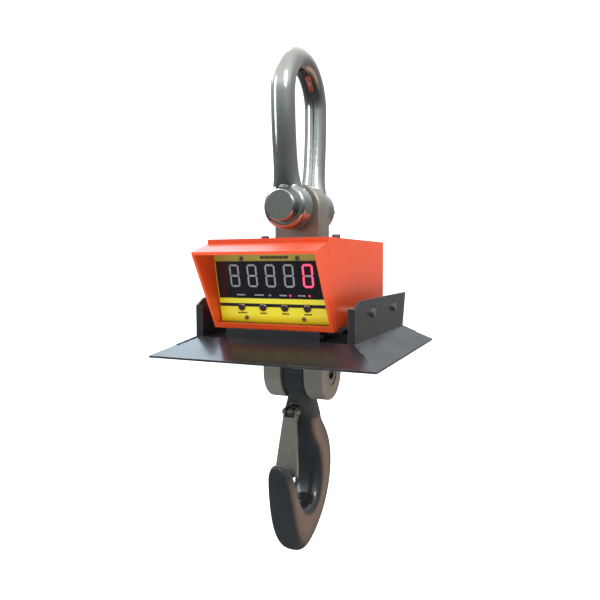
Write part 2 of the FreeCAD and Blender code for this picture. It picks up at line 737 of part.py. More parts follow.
node(repeat("rear_screws", rear_screw, REAR_SCREWS))
rear_face = back + REAR_COVER_THICK
socket_x, socket_z = SOCKET_AT
socket_rim = rod("socket_rim", "Y", 10, 4, socket_x, rear_face, socket_z)
socket_barrel = rod("socket_barrel", "Y", SOCKET_RADIUS, 20, socket_x, rear_face - 20, socket_z)
socket_hole = rod("socket_hole", "Y", 5, 14, socket_x, rear_face - 10, socket_z)
node(cut("charging_socket", fuse("socket_body", [socket_rim, socket_barrel]), [socket_hole]))


def inset(bounds, by):
    """Bounds drawn in by the same amount at both ends."""
    return bounds[0] + by, bounds[1] - by


SWITCH_CASE_DEEP = 19
switch_rim = box("switch_rim", inset(SWITCH_X, -3), (rear_face, rear_face + 2.5), inset(SWITCH_Z, -2))
switch_case = box("switch_case", SWITCH_X, (rear_face - SWITCH_CASE_DEEP, rear_face + 0.5), SWITCH_Z)
rocker_space = box("rocker_space", inset(SWITCH_X, 1.8), (rear_face - 11, rear_face + 9),
                   inset(SWITCH_Z, 1.8))
node(cut("power_switch_body", fuse("switch_shell", [switch_rim, switch_case]), [rocker_space]))
ROCKER_PIVOT_DEEP = 3.2
rocker_low, rocker_high = inset(SWITCH_X, 2.2)
rocker_core = rod("rocker_core", "X", 7.2, rocker_high - rocker_low,
                  rocker_low, rear_face - ROCKER_PIVOT_DEEP,
                  sum(SWITCH_Z) / 2)
rocker_zone = box("rocker_zone", (rocker_low, rocker_high),
                  (rear_face - 9, rear_face + 6), inset(SWITCH_Z, 3))
node(common("power_rocker", rocker_core, rocker_zone))

# ---------------------------------------------------------------- heat shield
wall_half = dim("wall_spread") / 2
thin = dim("sheet_thick")
rim_half = dim("rim_width") / 2
rim_z = -dim("rim_drop")
rim_front = -dim("rim_front")
rim_back = dim("rim_back")
floor_front = -dim("floor_front")
floor_back = dim("floor_back")
wall_top = -dim("wall_top_drop")
FLANGE_REACH = 11


def wing(name, profile, plane, low, high, plan):
    """A sloping sheet whose ends are mitred by its outline seen from above."""
    strip = prism(name + "_strip", plane, [profile], low, high)
    trim = prism(name + "_trim", "XY", [plan], rim_z - 20, floor_z + 20)
    return common(name, strip, trim)


def slope(inner, outer):
    """The section of a sloping sheet from its high inner edge to its low outer rim."""
    return [(inner, floor_z), (outer, rim_z), (outer, rim_z - thin), (inner, floor_z - thin)]


front_plan = [(-wall_half, floor_front), (-rim_half, rim_front),
              (rim_half, rim_front), (wall_half, floor_front)]
back_plan = [(-wall_half, floor_back), (wall_half, floor_back), (rim_half, rim_back), (-rim_half, rim_back)]
node(wing("shield_front_wing", slope(floor_front, rim_front), "YZ", -rim_half, rim_half, front_plan))
node(wing("shield_rear_wing", slope(floor_back, rim_back), "YZ", -rim_half, rim_half, back_plan))


def shield_side(name, side):
    """One side of the shield: an upright wall with a turned-in front flange, and its sloping wing."""
    wing_plan = [(wall_half * side, floor_front), (rim_half * side, rim_front), (rim_half * side, rim_back),
                 (wall_half * side, floor_back)]
    wing_part = wing(name + "_wing", slope(wall_half * side, rim_half * side), "XZ",
                     -rim_back, -rim_front, wing_plan)
    wall_outline = [(floor_front, floor_z - thin), (floor_front, wall_top - 10.1),
                    (floor_front + 17.4, wall_top),
                    (dim("wall_back"), wall_top), (floor_back, floor_z - thin)]
    outer_face = wall_half if side > 0 else -wall_half + thin
    wall_part = prism(name + "_wall", "YZ", [wall_outline], outer_face - thin, outer_face)
    flange_in = wall_half - FLANGE_REACH if side > 0 else -wall_half
    flange = box(name + "_flange", (flange_in, flange_in + FLANGE_REACH), (floor_front, floor_front + thin),
                 (floor_z, wall_top - 10.1))
    whole = fuse(name + "_whole", [wing_part, wall_part, flange])
    holes = [rod(name + "_hole", "X", 4.2, thin + 2, outer_face - thin - 1, y, SIDE_BOLT_Z)
             for y in SIDE_BOLTS]
    return cut(name, whole, holes)


node(shield_side("shield_left_side", -1))
node(shield_side("shield_right_side", 1))


def shield_floor():
    """The flat centre sheet, clear of the fork, with a low upright lip at the front and at the back."""
    inner_half = wall_half - thin
    plate = box("floor_sheet", (-inner_half, inner_half),
                (floor_front, floor_back), (floor_z - thin, floor_z))
    front_lip = box("floor_front_lip", (-74, 74), (floor_front, floor_front + thin),
                    (floor_z, sill_z - 0.4))
    window = box("floor_window", (-cheek_half - 2, cheek_half + 2), (cell_y - 40, cell_y + 40),
                 (floor_z - 20, floor_z + 5))
    holes = [rod("floor_hole", "Z", 4.5, 20, x, cell_y + y, floor_z - 10) for x, y in FLANGE_BOLTS]
    return cut("shield_floor", fuse("floor_with_lip", [plate, front_lip]), [window] + holes)


node(shield_floor())
inner_wall = wall_half - thin
spacer_length = inner_wall - housing_half


def spacer(name, start, y):
    """A sleeve between the housing's side and the shield wall."""
    tube = rod(name + "_tube", "X", 8, spacer_length, start, y, SIDE_BOLT_Z)
    hole = rod(name + "_hole", "X", 4.2, spacer_length, start, y, SIDE_BOLT_Z)
    return cut(name, tube, [hole])


node(repeat("shield_spacers", spacer,
            [(start, y) for start in (housing_half, -inner_wall) for y in SIDE_BOLTS]))


def side_bolt(name, side, y):
    """A bolt through the shield wall and spacer into the housing, head outside and nut inside."""
    head_start = wall_half if side > 0 else -wall_half - 5
    head = rod(name + "_head", "X", 6.5, 5, head_start, y, SIDE_BOLT_Z)
    reach = wall_half - housing_half + 12
    shank = rod(name + "_shank", "X", dim("shield_bolt_dia") / 2, reach,
                wall_half - reach if side > 0 else -wall_half, y, SIDE_BOLT_Z)
    inner_face = housing_half - wall
    nut = rod(name + "_nut", "X", 6.8, 6, inner_face - 6 if side > 0 else -inner_face, y, SIDE_BOLT_Z)
    return fuse(name, [head, shank, nut])


node(repeat("shield_side_bolts", side_bolt, [(side, y) for side in (-1, 1) for y in SIDE_BOLTS]))

# ---------------------------------------------------------------- hook, drawn about its own pin and then hung
HOOK_TURN = Rotation(Vector(1, 0, 0), -dim("hook_tilt").value)
HOOK_AT = Placement(Vector(0, cell_y.value, hook_z.value), HOOK_TURN)
hook_half = dim("hook_thick") / 2

# Inner point, outer point, inner width and outer width of each section, from the neck round to the point.
HOOK_SECTIONS = [
    ((-25, -24), (25, -24), 36, 36),
    ((-27, -47), (28, -47), 36, 36),
    ((-28, -65), (29, -65), 54, 53),
    ((-27, -80), (31, -77), 55, 52),
    ((-16, -104), (52, -89), 52, 48),
    ((9, -122), (76, -111), 53, 46),
    ((25, -143), (92, -140), 55, 44),
    ((28, -166), (95, -172), 55, 44),
    ((26, -187), (87, -208), 55, 43),
    ((20, -203), (64, -243), 54, 42),
    ((9, -212), (33, -270), 53, 40),
    ((-5, -215), (-3, -287), 52, 38),
    ((-22, -211), (-34, -278), 49, 42),
    ((-36, -198), (-57, -249), 45, 44),
    ((-46, -181), (-70, -215), 41, 44),
    ((-53, -165), (-79, -187), 38, 41),
    ((-60, -151), (-87, -162), 34, 37),
    ((-69, -141), (-94, -144), 26, 28),
    ((-78, -135), (-92, -134), 13, 14),
]
SECTION_POINTS = 16
SQUARENESS = 0.62
SPLINE_GROW = 1.04


def hook_section(inner, outer, inner_width, outer_width):
    """Control points of a closed, rounded, tapering section between an inner and an outer point."""
    centre = Vector(0, (inner[0] + outer[0]) / 2, (inner[1] + outer[1]) / 2)
    reach = Vector(0, outer[0] - inner[0], outer[1] - inner[1]) * SPLINE_GROW
    middle_width = (inner_width + outer_width) / 2
    points = []
    for step in range(SECTION_POINTS):
        turn = 2 * math.pi * step / SECTION_POINTS
        outward = math.copysign(abs(math.cos(turn)) ** SQUARENESS, math.cos(turn)) / 2
        width = (middle_width + (outer_width - inner_width) * outward) * SPLINE_GROW
        across = math.copysign(abs(math.sin(turn)) ** SQUARENESS, math.sin(turn)) * width / 2
        points.append(centre + Vector(across, 0, 0) + reach * outward)
    return points


def tube_through(rows):
    """A closed solid whose skin is one cubic spline surface over rows of control points, capped flat."""
    last = len(rows) - 3
    along_knots = list(range(last + 1))
    along_counts = [4] + [1] * (last - 1) + [4]
    round_knots = list(range(SECTION_POINTS + 1))
    round_counts = [1] * (SECTION_POINTS + 1)
    surface = Part.BSplineSurface()
    surface.buildFromPolesMultsKnots(rows, along_counts, round_counts, along_knots, round_knots, False, True, 3, 3)
    skin = surface.toShape()
    caps = [Part.Face(Part.Wire([edge])) for edge in skin.Edges if edge.isClosed()]
    shell = Part.Shell([skin] + caps)
    shell.sewShape()
    solid = Part.Solid(shell)
    if solid.Volume < 0:
        solid.reverse()
    return solid


LATCH_PIN_AT = (-42.0, -61.0)
LATCH_PIN_R = 3.0
LUG_WIDE = 16.4
SPRING_SLOT = 11.0


def hook():
    """A forged eye hook: eye, neck, bowl and point, with a small lug for the latch."""
    solid = tube_through([hook_section(*row) for row in HOOK_SECTIONS])
    eye = Part.makeCylinder(dim("hook_eye_dia").value / 2, hook_half.value * 2,
                            Vector(-hook_half.value, 0, 0), Vector(1, 0, 0))
    eye = eye.makeFillet(4, [edge for edge in eye.Edges if isinstance(edge.Curve, Part.Circle)])
    lug_y, lug_z = LATCH_PIN_AT
    lug = Part.makeCylinder(8, LUG_WIDE, Vector(-LUG_WIDE / 2, lug_y, lug_z), Vector(1, 0, 0))
    web = Part.makeBox(LUG_WIDE, 30, 16, Vector(-LUG_WIDE / 2, lug_y, lug_z - 8))
    slot = Part.makeBox(SPRING_SLOT, 18, 18, Vector(-SPRING_SLOT / 2, lug_y - 9, lug_z - 9))
    bore = Part.makeCylinder(hook_pin_radius.value + dim("running_gap").value, 80,
                             Vector(-40, 0, 0), Vector(1, 0, 0))
    latch_bore = Part.makeCylinder(LATCH_PIN_R, 40, Vector(-20, lug_y, lug_z), Vector(1, 0, 0))
    item = label(doc.addObject("Part::Feature", "hook"), "hook")
    item.Shape = solid.fuse(eye).fuse(lug.fuse(web).cut(slot)).cut(bore).cut(latch_bore)
    item.Placement = HOOK_AT
    return item


def hang(item):
    """Place a piece drawn about the hook's pin."""
    item.Placement = HOOK_AT.multiply(item.Placement)
    return item


node(hook())
latch_y, latch_z = LATCH_PIN_AT
EAR_FACE = 10.6
PIN_HEAD_THICK = 3.6
latch_pin_shank = rod("latch_pin_shank", "X", LATCH_PIN_R, 2 * EAR_FACE + 0.6,
                      -EAR_FACE - 0.3, latch_y, latch_z)
latch_pin_heads = []
for side, start in ((-1, -EAR_FACE - 0.3 - PIN_HEAD_THICK), (1, EAR_FACE + 0.3)):
    pin_head = rod("latch_pin_head", "X", 5, PIN_HEAD_THICK, start, latch_y, latch_z)
    outside = side * (EAR_FACE + 0.3 + PIN_HEAD_THICK)
    latch_pin_heads.append(rounded("latch_pin_dome", pin_head, 3,
                                   lambda edge: abs(edge.CenterOfMass.x - outside) < 0.01))
node(hang(fuse("latch_pin", [latch_pin_shank] + latch_pin_heads)))

LATCH_ANGLE = 4.8
LATCH_LONG = 97.0
LATCH_SHEET = 2.0
LATCH_FOOT_HALF = 18.0
LATCH_FRONT = -6.0
FLANGE_DEEP = 7.0


def latch():
    """A pressed channel, wider at the free end, whose two flanges rise into ears round the latch pin."""
    tongue = label(doc.addObject("PartDesign::Body", "latch_tongue"), "latch_tongue")
    outline = [(-EAR_FACE, -8), (EAR_FACE, -8), (LATCH_FOOT_HALF, -LATCH_LONG + 12),
               (LATCH_FOOT_HALF, -LATCH_LONG + 4), (14, -LATCH_LONG), (-14, -LATCH_LONG), (-LATCH_FOOT_HALF, -LATCH_LONG + 4),
               (-LATCH_FOOT_HALF, -LATCH_LONG + 12)]
    sketch = outline_sketch(tongue, "tongue_outline", "XZ", [outline])
    pad = tongue.newObject("PartDesign::Pad", "tongue_pad")
    pad.Profile = sketch
    pad.Length = LATCH_SHEET
    place(tongue, y=LATCH_FRONT + LATCH_SHEET)
    ear_outline = [(-6, 3), (-2, 6.5), (4, 5.5), (6.5, 0), (5, -8),
                   (LATCH_FRONT + FLANGE_DEEP, -14), (-6, -14)]
    ears = []
    for side in (-1, 1):
        start = EAR_FACE - LATCH_SHEET if side > 0 else -EAR_FACE
        ears.append(prism("latch_ear", "YZ", [ear_outline], start, start + LATCH_SHEET))
        inner_edge = EAR_FACE - LATCH_SHEET
        foot = LATCH_LONG - 12
        strip = [(side * inner_edge, -12), (side * EAR_FACE, -12), (side * LATCH_FOOT_HALF, -foot),
                 (side * (LATCH_FOOT_HALF - LATCH_SHEET), -foot)]
        ears.append(prism("latch_flange", "XZ", [strip], -LATCH_FRONT - FLANGE_DEEP, -LATCH_FRONT))
        heel_start = LATCH_FOOT_HALF - LATCH_SHEET if side > 0 else -LATCH_FOOT_HALF
        heel = [(LATCH_FRONT, 1 - foot), (LATCH_FRONT + FLANGE_DEEP, 1 - foot), (LATCH_FRONT + FLANGE_DEEP, -98),
                (LATCH_FRONT + FLANGE_DEEP - 2.5, -98), (LATCH_FRONT, 1 - foot - 6)]
        ears.append(prism("latch_heel", "YZ", [heel], heel_start, heel_start + LATCH_SHEET))
    holes = rod("ear_hole", "X", LATCH_PIN_R + 0.05, 40, -20, 0, 0)
    whole = cut("latch", fuse("latch_blank", [tongue] + ears), [holes])
    whole.Placement = Placement(Vector(0, latch_y, latch_z), Rotation(Vector(1, 0, 0), -LATCH_ANGLE))
    return hang(whole)


node(latch())


def latch_spring():
    """A small torsion spring round the latch pin, drawn as closed turns with one leg down the latch."""
    wire = 0.7
    turn_radius = 5.0
    pitch = 1.8
    turns = [Part.makeTorus(turn_radius, wire, Vector(pitch * n, 0, 0), Vector(1, 0, 0))
             for n in (-2, -1, 0, 1, 2)]
    leg_y = LATCH_FRONT + LATCH_SHEET + wire + 0.1
    leg = Part.makeCylinder(wire, 30, Vector(0, leg_y, -8), Vector(0, 0, -1))
    item = label(doc.addObject("Part::Feature", "latch_spring"), "latch_spring")
    item.Shape = Part.makeCompound(turns + [leg])
    item.Placement = Placement(Vector(0, latch_y, latch_z), Rotation(Vector(1, 0, 0), -LATCH_ANGLE))
    return hang(item)


node(latch_spring())

# ---------------------------------------------------------------- check and write
doc.recompute()
for item in doc.Objects:
    bad = [state for state in item.State if state in ("Invalid", "Error")]
    if bad:
        raise RuntimeError("%s is %s" % (item.Label, ", ".join(bad)))

os.makedirs("parts", exist_ok=True)
for item in NODES:
    shape = item.Shape
    if shape.isNull() or not shape.isValid() or not shape.Solids:
        raise RuntimeError("%s has no sound solid" % item.Label)
    shape.exportStep("parts/%s.step" % item.Label)
    bounds = shape.BoundBox
    print("%-20s %d solid(s) %9.0f mm3  X %.1f..%.1f  Y %.1f..%.1f  Z %.1f..%.1f" % (
        item.Label, len(shape.Solids), shape.Volume, bounds.XMin, bounds.XMax, bounds.YMin, bounds.YMax,
        bounds.ZMin, bounds.ZMax))
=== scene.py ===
"""Looks of the crane scale: steel, paint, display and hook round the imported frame.

Metres, +Z up, display at -Y. The functions that draw on the panel take millimetres.
"""

import json
import math
import random

import bmesh
import bpy
import numpy as np
from mathutils import Matrix, Vector


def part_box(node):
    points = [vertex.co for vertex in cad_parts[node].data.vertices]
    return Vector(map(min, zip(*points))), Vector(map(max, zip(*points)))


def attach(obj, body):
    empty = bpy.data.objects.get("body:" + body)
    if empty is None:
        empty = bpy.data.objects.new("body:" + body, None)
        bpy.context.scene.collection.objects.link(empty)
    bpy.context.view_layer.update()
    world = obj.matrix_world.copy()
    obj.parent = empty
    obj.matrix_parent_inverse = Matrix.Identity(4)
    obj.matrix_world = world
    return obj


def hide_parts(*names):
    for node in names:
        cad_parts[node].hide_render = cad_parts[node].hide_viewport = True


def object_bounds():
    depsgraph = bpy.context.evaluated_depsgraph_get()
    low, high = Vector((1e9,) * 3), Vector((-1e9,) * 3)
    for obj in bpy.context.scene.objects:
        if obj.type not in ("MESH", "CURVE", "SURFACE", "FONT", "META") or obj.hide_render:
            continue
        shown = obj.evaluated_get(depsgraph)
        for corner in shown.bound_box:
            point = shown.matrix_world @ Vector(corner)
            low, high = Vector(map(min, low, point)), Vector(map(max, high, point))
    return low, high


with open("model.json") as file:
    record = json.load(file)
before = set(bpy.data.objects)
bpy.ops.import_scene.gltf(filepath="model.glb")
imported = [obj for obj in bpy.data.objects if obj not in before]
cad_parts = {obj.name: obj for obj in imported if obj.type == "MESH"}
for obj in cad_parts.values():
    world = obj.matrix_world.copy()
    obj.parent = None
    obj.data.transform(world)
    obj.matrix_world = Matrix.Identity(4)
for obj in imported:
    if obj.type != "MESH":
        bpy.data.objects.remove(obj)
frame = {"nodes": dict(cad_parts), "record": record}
cad_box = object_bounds()
nodes = frame["nodes"]

MM = 0.001


# ---------------------------------------------------------------- node-material helpers
class Shade:
    """A node material being built, with short calls for the nodes that repeat."""

    def __init__(self, name):
        self.material = bpy.data.materials.new(name)
        self.material.use_nodes = True
        self.tree = self.material.node_tree
        self.bsdf = next(n for n in self.tree.nodes if n.type == "BSDF_PRINCIPLED")
        self.position = self.add("ShaderNodeTexCoord").outputs["Object"]

    def add(self, kind, **settings):
        node = self.tree.nodes.new(kind)
        for key, value in settings.items():
            setattr(node, key, value)
        return node

    def link(self, source, target):
        self.tree.links.new(source, target)

    def set(self, **sockets):
        for key, value in sockets.items():
            self.bsdf.inputs[key.replace("_", " ")].default_value = value

    def noise(self, scale, detail=4.0, roughness=0.5, distortion=0.0, stretch=(1, 1, 1)):
        mapping = self.add("ShaderNodeMapping")
        mapping.inputs["Scale"].default_value = stretch
        self.link(self.position, mapping.inputs["Vector"])
        node = self.add("ShaderNodeTexNoise")
        node.inputs["Scale"].default_value = scale
        node.inputs["Detail"].default_value = detail
        node.inputs["Roughness"].default_value = roughness
        node.inputs["Distortion"].default_value = distortion
        self.link(mapping.outputs["Vector"], node.inputs["Vector"])
        return node.outputs["Fac"]

    def ramp(self, factor, stops):
        node = self.add("ShaderNodeValToRGB")
        node.color_ramp.elements[0].position = stops[0][0]
        node.color_ramp.elements[0].color = colour(stops[0][1])
        node.color_ramp.elements[1].position = stops[-1][0]
        node.color_ramp.elements[1].color = colour(stops[-1][1])
        for place, value in stops[1:-1]:
            node.color_ramp.elements.new(place).color = colour(value)
        self.link(factor, node.inputs["Fac"])
        return node.outputs["Color"]

    def spread(self, factor, low, high, start=0.3, end=0.7):
        """A number that runs from low to high as a factor goes from start to end."""
        node = self.add("ShaderNodeMapRange")
        node.inputs["From Min"].default_value = start
        node.inputs["From Max"].default_value = end
        node.inputs["To Min"].default_value = low
        node.inputs["To Max"].default_value = high
        self.link(factor, node.inputs["Value"])
        return node.outputs["Result"]

    def mix(self, factor, first, second):
        node = self.add("ShaderNodeMix", data_type="RGBA")
        for socket, value in ((0, factor), (6, first), (7, second)):
            if isinstance(value, bpy.types.NodeSocket):
                self.link(value, node.inputs[socket])
            else:
                node.inputs[socket].default_value = value if socket == 0 else colour(value)
        return node.outputs[2]

    def rounded(self, radius):
        """The normal of a surface whose sharp edges are eased by a radius."""
        node = self.add("ShaderNodeBevel", samples=4)
        node.inputs["Radius"].default_value = radius
        return node.outputs["Normal"]

    def ridges(self, low, high):
        """One on the ridges of a finely meshed surface and zero elsewhere."""
        geometry = self.add("ShaderNodeNewGeometry")
        return self.spread(geometry.outputs["Pointiness"], 0.0, 1.0, low, high)

    def edges(self, radius=0.0010):
        """One on sharp edges and zero elsewhere, broken up by noise."""
        geometry = self.add("ShaderNodeNewGeometry")
        turn = self.add("ShaderNodeVectorMath", operation="DOT_PRODUCT")
        self.link(self.rounded(radius), turn.inputs[0])
        self.link(geometry.outputs["Normal"], turn.inputs[1])
        # Edges whose eased normal turns away: these get the paler paint, partly edge wear and partly a
        # painted highlight.
        wear_and_highlight = self.spread(turn.outputs["Value"], 1.0, 0.0, 0.80, 0.97)
        broken = self.spread(self.noise(90.0, 5.0), 0.15, 1.0, 0.40, 0.62)
        node = self.add("ShaderNodeMath", operation="MULTIPLY")
        self.link(wear_and_highlight, node.inputs[0])
        self.link(broken, node.inputs[1])
        return node.outputs["Value"]

    def base(self, source):
        self.link(source, self.bsdf.inputs["Base Color"])

    def rough(self, source):
        self.link(source, self.bsdf.inputs["Roughness"])

    def bump(self, height, strength=0.2, distance=0.0004, ease=0.0006):
        node = self.add("ShaderNodeBump")
        if ease:
            self.link(self.rounded(ease), node.inputs["Normal"])
        node.inputs["Strength"].default_value = strength
        node.inputs["Distance"].default_value = distance
        self.link(height, node.inputs["Height"])
        self.link(node.outputs["Normal"], self.bsdf.inputs["Normal"])


def colour(value):
    """A colour with its alpha."""
    return (*value, 1.0) if len(value) == 3 else value


def polished_steel(name, tint=(0.50, 0.51, 0.48), low=0.09, high=0.20):
    """Polished stainless steel with faint draw lines and handling marks."""
    shade = Shade(name)
    shade.set(Metallic=1.0)
    cloud = shade.noise(9.0, 3.0)
    dark = tuple(c * 0.80 for c in tint)
    shade.base(shade.ramp(cloud, [(0.35, dark), (0.65, tint)]))
    marks = shade.noise(240.0, 6.0, 0.6, stretch=(1, 1, 0.10))
    shade.rough(shade.spread(marks, low, high))
    shade.bump(marks, strength=0.12, distance=0.00012)
    return shade.material


def machined_steel(name, tint=(0.40, 0.375, 0.33)):
    """Turned and milled steel that has dulled, its sheen varied by fine tool lines."""
    shade = Shade(name)
    shade.set(Metallic=0.68)
    cloud = shade.noise(16.0, 5.0, 0.6)
    shade.base(shade.ramp(cloud, [(0.32, tuple(c * 0.70 for c in tint)), (0.66, tint)]))
    lines = shade.noise(420.0, 4.0, 0.5, stretch=(0.2, 1, 1))
    shade.rough(shade.spread(lines, 0.28, 0.31))
    shade.bump(shade.noise(60.0, 3.0, 0.5), strength=0.05, distance=0.0002)
    return shade.material


def powder_coat(name, tint=(0.74, 0.070, 0.010), deep=(0.69, 0.062, 0.008)):
    """Satin orange coat with the fine skin that sprayed powder leaves, painted paler at its edges: partly
    rubbed wear, partly a painted highlight.
    """
    shade = Shade(name)
    shade.set(Coat_Weight=0.20, Coat_Roughness=0.22)
    body = shade.ramp(shade.noise(5.0, 3.0, 0.5), [(0.35, deep), (0.65, tint)])
    # The edges are painted a paler orange: partly rubbed wear, partly a painted highlight along the edges.
    shade.base(shade.mix(shade.edges(), body, (0.86, 0.22, 0.11)))
    skin = shade.noise(620.0, 3.0, 0.5)
    shade.rough(shade.spread(shade.noise(40.0, 4.0), 0.30, 0.40))
    shade.bump(skin, strength=0.16, distance=0.00010)
    return shade.material


def black_enamel(name, tint=(0.014, 0.015, 0.018), wear_and_highlight=(0.27, 0.28, 0.30)):
    """Semi-gloss black enamel on metal, paler on the edges (partly worn thin, partly a painted highlight
    along the rims) and a little wavy.
    """
    shade = Shade(name)
    shade.set(Coat_Weight=0.3, Coat_Roughness=0.14)
    body = shade.ramp(shade.noise(8.0, 4.0, 0.55), [(0.30, tint), (0.75, tuple(c * 1.5 for c in tint))])
    # The edges are painted pale grey: partly worn-thin enamel, partly a painted highlight along the rims.
    shade.base(shade.mix(shade.edges(), body, wear_and_highlight))
    shade.rough(shade.spread(shade.noise(14.0, 3.0, 0.5), 0.24, 0.36))
    shade.bump(shade.noise(9.0, 2.0, 0.4), strength=0.25, distance=0.0012)
    return shade.material


def forged_black(name):
    """Gloss black enamel over a forging, whose slow unevenness shows in the reflections."""
    shade = Shade(name)
    shade.set(Coat_Weight=0.6, Coat_Roughness=0.07)
    stops = [(0.30, (0.013, 0.015, 0.017)), (0.60, (0.021, 0.023, 0.025)), (0.80, (0.030, 0.030, 0.030))]
    body = shade.ramp(shade.noise(11.0, 6.0, 0.6), stops)
    # The ridges are painted a paler brown-grey: a painted highlight along the forging's edges.
    shade.base(shade.mix(shade.ridges(0.56, 0.74), body, (0.20, 0.18, 0.16)))
    shade.rough(shade.spread(shade.noise(30.0, 5.0, 0.6), 0.16, 0.28))
    shade.bump(shade.noise(18.0, 3.0, 0.5), strength=0.25, distance=0.0009, ease=0)
    return shade.material


def zinc_plate(name, tint=(0.40, 0.40, 0.35)):
    """Dull zinc plating with a faint spangle."""
    shade = Shade(name)
    shade.set(Metallic=0.85)
    cells = shade.add("ShaderNodeTexVoronoi")
    cells.inputs["Scale"].default_value = 260.0
    shade.link(shade.position, cells.inputs["Vector"])
    shade.base(shade.ramp(cells.outputs["Distance"], [(0.0, tuple(c * 0.88 for c in tint)), (0.8, tint)]))
    shade.rough(shade.spread(shade.noise(90.0, 5.0), 0.30, 0.48))
    shade.bump(shade.noise(300.0, 3.0), strength=0.12, distance=0.0002)
    return shade.material


def plastic(name, tint, low=0.35, high=0.5, grain=700.0, strength=0.15):
    """Moulded plastic with a fine grain."""
    shade = Shade(name)
    cloud = shade.noise(30.0, 4.0)
    shade.base(shade.ramp(cloud, [(0.3, tuple(c * 0.82 for c in tint)), (0.7, tint)]))
    texture = shade.noise(grain, 3.0)
    shade.rough(shade.spread(texture, low, high))
    shade.bump(texture, strength=strength, distance=0.0001)
    return shade.material


def glossy_print(name, tint, dust=0.03):
    """Printed film with a satin face, slightly uneven and dusty."""
    shade = Shade(name)
    shade.set(Coat_Weight=0.25, Coat_Roughness=0.2)
    pale = tuple(min(1.0, c * (1 - dust) + dust * 0.35) for c in tint)
    shade.base(shade.ramp(shade.noise(40.0, 6.0, 0.65), [(0.32, pale), (0.58, tint)]))
    shade.rough(shade.spread(shade.noise(120.0, 4.0), 0.28, 0.42))
    shade.bump(shade.noise(380.0, 3.0), strength=0.10, distance=0.00008)
    return shade.material


def glowing(name, tint, strength):
    """A lit segment or lamp under its diffusing skin."""
    shade = Shade(name)
    shade.set(Emission_Strength=strength, Emission_Color=colour(tint))
    shade.base(shade.ramp(shade.noise(220.0, 3.0), [(0.3, tuple(c * 0.8 for c in tint)), (0.7, tint)]))
    shade.rough(shade.spread(shade.noise(200.0, 3.0), 0.30, 0.45))
    return shade.material


def dark_glass(name):
    """Smoked acrylic in front of the digits: nearly black, with a clean gloss."""
    shade = Shade(name)
    shade.set(Coat_Weight=0.5, Coat_Roughness=0.03)
    stops = [(0.3, (0.006, 0.007, 0.010)), (0.7, (0.012, 0.014, 0.019))]
    shade.base(shade.ramp(shade.noise(16.0, 4.0), stops))
    shade.rough(shade.spread(shade.noise(50.0, 4.0), 0.10, 0.20))
    return shade.material


MATERIALS = {
    "polished_steel": polished_steel("polished_steel"),
    "cell_steel": machined_steel("cell_steel"),
    "bronze": machined_steel("bronze", (0.55, 0.36, 0.16)),
    "cover_steel": machined_steel("cover_steel", (0.52, 0.52, 0.50)),
    "brass": machined_steel("brass", (0.68, 0.52, 0.24)),
    "orange_paint": powder_coat("orange_paint"),
    "dark_steel": zinc_plate("dark_steel", (0.24, 0.23, 0.22)),
    "seal_rubber": plastic("seal_rubber", (0.020, 0.020, 0.021), 0.6, 0.8, 420.0, 0.3),
    "printed_face": glossy_print("printed_face", (0.80, 0.73, 0.02)),
    "dark_window": dark_glass("dark_window"),
    "circuit_board": plastic("circuit_board", (0.02, 0.16, 0.06)),
    "digit_body": plastic("digit_body", (0.05, 0.05, 0.055)),
    "led_lens": glowing("led_lens", (0.75, 0.02, 0.04), 0.6),
    "button_metal": polished_steel("button_metal", (0.42, 0.36, 0.33), 0.16, 0.30),
    "black_plastic": plastic("black_plastic", (0.018, 0.018, 0.019)),
    "battery_case": plastic("battery_case", (0.10, 0.10, 0.11)),
    "tray_zinc": zinc_plate("tray_zinc"),
    "black_paint": black_enamel("black_paint"),
    "hook_paint": forged_black("hook_paint"),
    "latch_zinc": zinc_plate("latch_zinc", (0.32, 0.325, 0.275)),
}

slot_of = {part["node"]: part["material_slot"] for part in frame["record"]["subparts"]}
for node_name, item in nodes.items():
    item.data.materials.clear()
    item.data.materials.append(MATERIALS[slot_of[node_name]])


# ---------------------------------------------------------------- mesh helpers
def smooth_faces(mesh, degrees=32.0):
    """Shade a mesh smoothly apart from its sharp edges."""
    mesh.shade_smooth()
    mesh.set_sharp_from_angle(angle=math.radians(degrees))


def new_piece(name, mesh, body, slot, material=None):
    """A piece that rides on a body and takes its finish from a slot."""
    piece = bpy.data.objects.new(name, mesh)
    bpy.context.scene.collection.objects.link(piece)
    mesh.materials.clear()
    mesh.materials.append(material or MATERIALS[slot])
    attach(piece, body)
    return piece


def applied(mesh, modifiers):
    """A mesh after a list of (kind, settings) modifiers."""
    holder = bpy.data.objects.new("holder", mesh)
    bpy.context.scene.collection.objects.link(holder)
    for kind, settings in modifiers:
        modifier = holder.modifiers.new(kind, kind)
        for key, value in settings.items():
            setattr(modifier, key, value)
    graph = bpy.context.evaluated_depsgraph_get()
    result = bpy.data.meshes.new_from_object(holder.evaluated_get(graph), depsgraph=graph)
    bpy.data.objects.remove(holder)
    return result


def forged(node_name, voxel, rounds, factor=0.5):
    """A CAD node's shape with its junctions blended, as forging and grinding leave them."""
    source = nodes[node_name].data.copy()
    wrap = {"target": nodes[node_name], "wrap_method": "NEAREST_SURFACEPOINT"}
    mesh = applied(source, [("REMESH", {"mode": "VOXEL", "voxel_size": voxel}),
                            ("SHRINKWRAP", wrap),
                            ("SMOOTH", {"factor": factor, "iterations": rounds})])
    mesh.shade_smooth()
    return mesh


# ---------------------------------------------------------------- smoothing and the forged pieces
for node_name, item in nodes.items():
    smooth_faces(item.data)

bow = new_piece("shackle_bow_forged", forged("shackle_bow", 1.4 * MM, 10), "shackle", "polished_steel")
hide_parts("shackle_bow")
hook_piece = new_piece("hook_forged", forged("hook", 1.5 * MM, 12), "hook", "hook_paint")
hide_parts("hook")


# ---------------------------------------------------------------- the printed face and the digits
PANEL_LEAN = math.radians(12.3)


